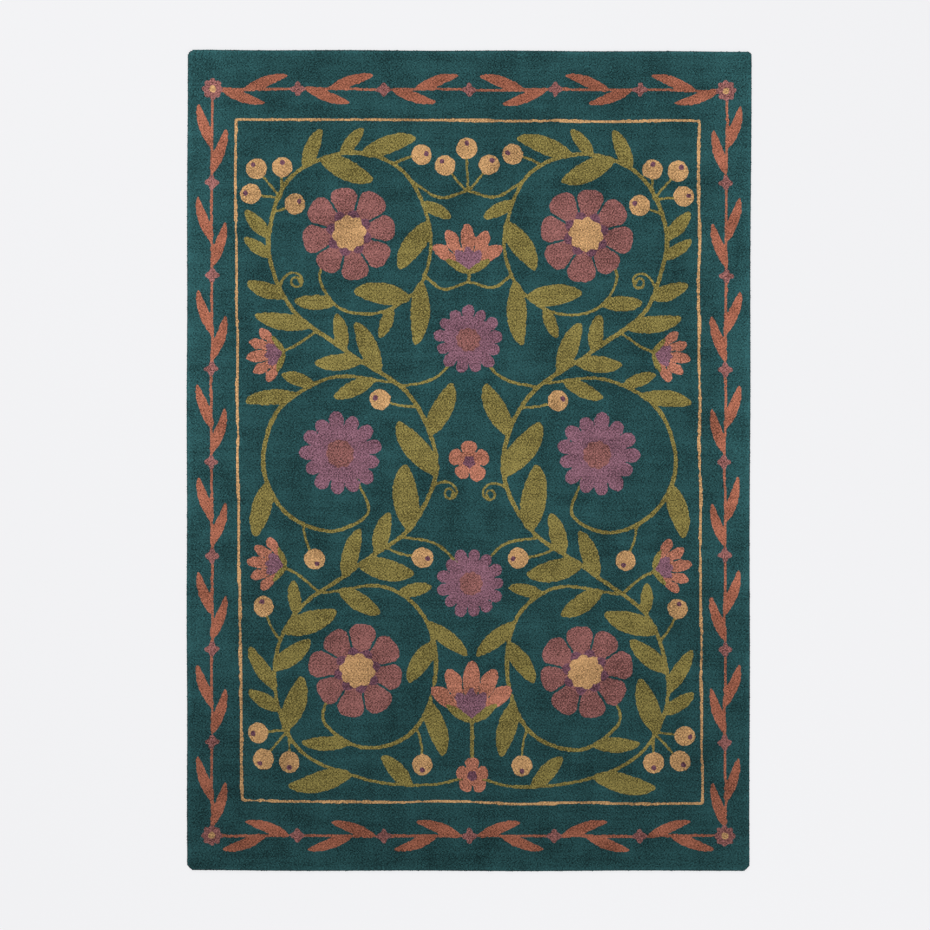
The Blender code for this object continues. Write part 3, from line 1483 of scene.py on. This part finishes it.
@dataclass
class Backing:
    """The rug's body under the pile: its back, and the foot of the pile at the edge.

    Each level is an inset from the outline and a height.
    """

    outline: Outline
    section: EdgeSection
    levels: tuple[tuple[float, float], ...] = (
        (0.0035, 0.0),
        (0.0012, 0.0025),
        (0.0004, 0.0046),
        (0.00005, 0.0070),
        (0.0011, 0.0078),
        (0.0040, 0.0100),
    )
    step: float = 0.012
    corner_steps: int = 6
    least_radius: float = 0.004

    def radius(self, corner: Corner, inset: float) -> float:
        """The radius of a ring's corner."""
        return max(self.section.radii[corner] - inset, self.least_radius)

    def ring(self, inset: float, height: float) -> np.ndarray:
        """Points round the rug.

        Args:
            inset: How far inside the outline they lie.
            height: Their height.

        Returns:
            The points, one a row, anticlockwise.
        """
        half_width, half_length = self.outline.half_width, self.outline.half_length
        points = []
        corners = ((1, 1), (-1, 1), (-1, -1), (1, -1))
        for quarter, corner in enumerate(corners):
            radius = self.radius(corner, inset)
            centre_x = corner[0] * (half_width - inset - radius)
            centre_y = corner[1] * (half_length - inset - radius)
            for step in range(self.corner_steps + 1):
                turn = (quarter + step / self.corner_steps) * math.pi / 2.0
                points.append((centre_x + radius * math.cos(turn), centre_y + radius * math.sin(turn)))
            run = 2.0 * (half_width if quarter % 2 == 0 else half_length)
            after = corners[(quarter + 1) % 4]
            after_radius = self.radius(after, inset)
            start = points[-1]
            if quarter % 2 == 0:
                end = (after[0] * (half_width - inset - after_radius), start[1])
            else:
                end = (start[0], after[1] * (half_length - inset - after_radius))
            way = (end[0] - start[0], end[1] - start[1])
            count = round(run / self.step)
            for step in range(1, count):
                share = step / count
                points.append((start[0] + way[0] * share, start[1] + way[1] * share))
        straight = np.array(points)
        x, y = self.outline.lay(straight[:, 0], straight[:, 1])
        return np.stack([x, y, np.full(len(x), height)], 1)

    def build(self) -> bpy.types.Object:
        """Builds the backing.

        Returns:
            The piece, a closed body.
        """
        rings = [self.ring(inset, height) for inset, height in self.levels]
        around = len(rings[0])
        places = np.vstack([*rings, [[0.0, 0.0, 0.0], [0.0, 0.0, self.levels[-1][1]]]])
        here = np.arange(around)
        after = (here + 1) % around
        under, over = len(rings) * around, len(rings) * around + 1
        last = (len(rings) - 1) * around
        faces = [np.stack([after, here, np.full(around, under)], 1)]
        faces.append(np.stack([last + here, last + after, np.full(around, over)], 1))
        for level in range(len(rings) - 1):
            low, high = level * around, (level + 1) * around
            faces.append(np.stack([low + here, low + after, high + after], 1))
            faces.append(np.stack([low + here, high + after, high + here], 1))
        piece = make_mesh("backing", places, np.vstack(faces))
        piece.data.set_sharp_from_angle(angle=math.radians(35.0))
        piece.data.materials.append(BackingCloth().material())
        piece.data.materials.append(WOOLS[Yarn.TEAL].material("pile_foot", flat=False))
        slots = np.ones(len(piece.data.polygons), np.int32)
        slots[:around] = 0
        piece.data.polygons.foreach_set("material_index", slots)
        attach(piece, BODY)
        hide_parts(RUG_NODE)
        LOG.info("%s: %d faces", piece.name, len(piece.data.polygons))
        return piece


@dataclass
class Rim:
    """Rows of yarn ends that stand all round the rug's edge.

    Each row is the inset of its roots, their height, the rise in degrees and the
    length. The profile of a yarn end is its thickness at shares of its length.
    """

    backing: Backing
    spacing: float = 0.0027
    radius: float = 0.0014
    rows: tuple[tuple[float, float, float, float], ...] = (
        (0.0018, 0.0006, 77.0, 0.0062),
        (0.0019, 0.0008, 84.0, 0.0092),
        (0.0034, 0.0040, 80.0, 0.0070),
    )
    looseness: float = 0.3
    tilt: float = 7.0
    sway: float = 0.16
    lengths: Point = (0.80, 1.14)
    widths: Point = (0.85, 1.2)
    sides: int = 4
    profile: tuple[tuple[float, float], ...] = ((0.0, 0.8), (0.7, 1.0), (0.96, 0.62))
    tip: float = 1.02

    def row(
        self, draw: np.random.Generator, inset: float, height: float, rise: float, length: float
    ) -> np.ndarray:
        """The points of one row's yarn ends.

        Args:
            draw: Where chance comes from.
            inset: How far inside the outline the roots lie.
            height: Their height.
            rise: How steeply the yarn ends rise, in degrees.
            length: Their usual length.

        Returns:
            The points about each level and the tips, each for all the row's yarn ends.
        """
        ring = self.backing.ring(inset, height)
        closed = np.vstack([ring, ring[:1]])
        steps = np.diff(closed, axis=0)
        run = np.concatenate([[0.0], np.cumsum(np.hypot(steps[:, 0], steps[:, 1]))])
        count = round(run[-1] / self.spacing)
        loose = draw.uniform(-self.looseness, self.looseness, count)
        stations = (np.arange(count) + loose) * run[-1] / count % run[-1]
        roots = np.stack([np.interp(stations, run, closed[:, axis]) for axis in range(3)], 1)
        step = np.clip(np.searchsorted(run, stations) - 1, 0, len(steps) - 1)
        along = steps[step] / np.linalg.norm(steps[step], axis=1)[:, None]
        out = np.stack([along[:, 1], -along[:, 0], np.zeros(count)], 1)
        angle = np.radians(rise + draw.uniform(-self.tilt, self.tilt, count))[:, None]
        sway = draw.normal(0.0, self.sway, count)[:, None]
        way = out * np.cos(angle) + [[0.0, 0.0, 1.0]] * np.sin(angle) + along * sway
        way /= np.linalg.norm(way, axis=1)[:, None]
        cross = np.cross(way, along)
        uneven = 1.0 + 0.16 * waves(stations, np.zeros(count), 0.034, 41)
        uneven += 0.10 * waves(stations, np.ones(count), 0.011, 42)
        reach = (length * uneven * draw.uniform(*self.lengths, count))[:, None]
        thick = (self.radius * draw.uniform(*self.widths, count))[:, None]
        points = []
        for share, swell in self.profile:
            for side in range(self.sides):
                turn = 2.0 * math.pi * side / self.sides
                offset = along * math.cos(turn) + cross * math.sin(turn)
                points.append(roots + way * reach * share + offset * thick * swell)
        points.append(roots + way * reach * self.tip)
        return np.stack(points)

    def skin(self, count: int) -> np.ndarray:
        """The faces over one row's points.

        Args:
            count: How many yarn ends the row has.

        Returns:
            The corners of the triangles, one triangle a row.
        """
        places = len(self.profile) * self.sides + 1
        corners = np.arange(places * count).reshape(places, count)
        faces = []
        for level in range(len(self.profile)):
            for side in range(self.sides):
                here = level * self.sides + side
                beside = level * self.sides + (side + 1) % self.sides
                if level == len(self.profile) - 1:
                    faces.append(corners[[here, -1, beside]].T)
                else:
                    faces.append(corners[[here, beside + self.sides, beside]].T)
                    faces.append(corners[[here, here + self.sides, beside + self.sides]].T)
        return np.vstack(faces)

    def build(self) -> bpy.types.Object:
        """Builds the yarn ends as one piece.

        Returns:
            The piece.
        """
        draw = np.random.default_rng(14)
        places, faces, total = [], [], 0
        for row in self.rows:
            points = self.row(draw, *row)
            places.append(points.reshape(-1, 3))
            faces.append(total + self.skin(points.shape[1]))
            total += len(places[-1])
        piece = make_mesh("rim_yarn_ends", np.vstack(places), np.vstack(faces))
        piece.data.materials.append(WOOLS[Yarn.TEAL].material("rim_wool", flat=False))
        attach(piece, BODY)
        Yarn.TEAL.slot
        LOG.info("%s: %d faces", piece.name, len(piece.data.polygons))
        return piece


@dataclass
class Studio:
    """The pale floor, the soft light and the camera straight above the rug."""

    outline: Outline
    camera_x: float = -0.0116
    camera_y: float = -0.0130
    view_width: float = 2.632
    lens: float = 100.0
    sensor: float = 36.0
    floor_size: float = 14.0
    floor_lap: float = 0.012
    floor_colour: Colour = (0.120, 0.120, 0.122)
    floor_glow: Colour = (0.760, 0.760, 0.775)
    sky: Colour = (0.97, 0.985, 1.0)
    sky_strength: float = 0.335
    lamp_size: float = 3.0
    head_lamp: tuple[float, float, float] = (-1.3, 3.0, 4.8)
    head_power: float = 186.0
    foot_lamp: tuple[float, float, float] = (1.3, -3.0, 4.8)
    foot_power: float = 156.0

    def floor(self) -> None:
        """Lays the floor, open under the rug so that the rug's back can be seen from below."""
        half = self.floor_size / 2.0
        opening = (self.outline.half_width - self.floor_lap, self.outline.half_length - self.floor_lap)
        corners = np.array([(-1.0, -1.0, 0.0), (1.0, -1.0, 0.0), (1.0, 1.0, 0.0), (-1.0, 1.0, 0.0)])
        places = np.vstack([corners * half, corners * [*opening, 0.0]])
        here = np.arange(4)
        after = (here + 1) % 4
        floor = make_mesh("floor", places, np.stack([here, after, after + 4, here + 4], 1))
        material = bpy.data.materials.new("floor")
        material.use_nodes = True
        shader = material.node_tree.nodes["Principled BSDF"]
        shader.inputs["Base Color"].default_value = (*self.floor_colour, 1.0)
        shader.inputs["Roughness"].default_value = 0.9
        shader.inputs["Specular IOR Level"].default_value = 0.0
        shader.inputs["Emission Color"].default_value = (*self.floor_glow, 1.0)
        shader.inputs["Emission Strength"].default_value = 1.0
        floor.data.materials.append(material)

    def light(self, name: str, place: tuple[float, float, float], power: float) -> None:
        """Hangs a soft square light that faces the rug's middle.

        Args:
            name: Its name.
            place: Where it hangs.
            power: Its power in watts.
        """
        data = bpy.data.lights.new(name, "AREA")
        data.shape = "SQUARE"
        data.size = self.lamp_size
        data.energy = power
        lamp = bpy.data.objects.new(name, data)
        lamp.location = place
        x, y, z = place
        lamp.rotation_euler = (math.atan2(math.hypot(x, y), z), 0.0, math.atan2(y, x) + math.pi / 2.0)
        bpy.context.scene.collection.objects.link(lamp)

    def build(self) -> None:
        """Sets up the studio."""
        self.floor()
        self.light("head_light", self.head_lamp, self.head_power)
        self.light("foot_light", self.foot_lamp, self.foot_power)
        world = bpy.data.worlds.new("studio")
        world.use_nodes = True
        background = world.node_tree.nodes["Background"]
        background.inputs["Color"].default_value = (*self.sky, 1.0)
        background.inputs["Strength"].default_value = self.sky_strength
        scene = bpy.context.scene
        scene.world = world
        scene.view_settings.view_transform = "Standard"
        data = bpy.data.cameras.new("camera")
        data.lens = self.lens
        data.sensor_width = self.sensor
        data.clip_end = 60.0
        camera = bpy.data.objects.new("camera", data)
        height = self.view_width * self.lens / self.sensor + self.outline.top
        camera.location = (self.camera_x, self.camera_y, height)
        scene.collection.objects.link(camera)
        scene.camera = camera


def main() -> None:
    """Builds the rug and the studio."""
    logging.basicConfig(level=logging.INFO, format="%(name)s: %(message)s")
    outline = Outline()
    section = EdgeSection(outline)
    chart = TuftChart(outline, section)
    Border(chart).draw()
    field_design = Field(chart)
    field_design.draw()
    pile = Pile(chart, section).build(field_design)
    backing = Backing(outline, section)
    base = backing.build()
    rim = Rim(backing).build()
    Studio(outline).build()
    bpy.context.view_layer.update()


if __name__ == "__main__":
    main()
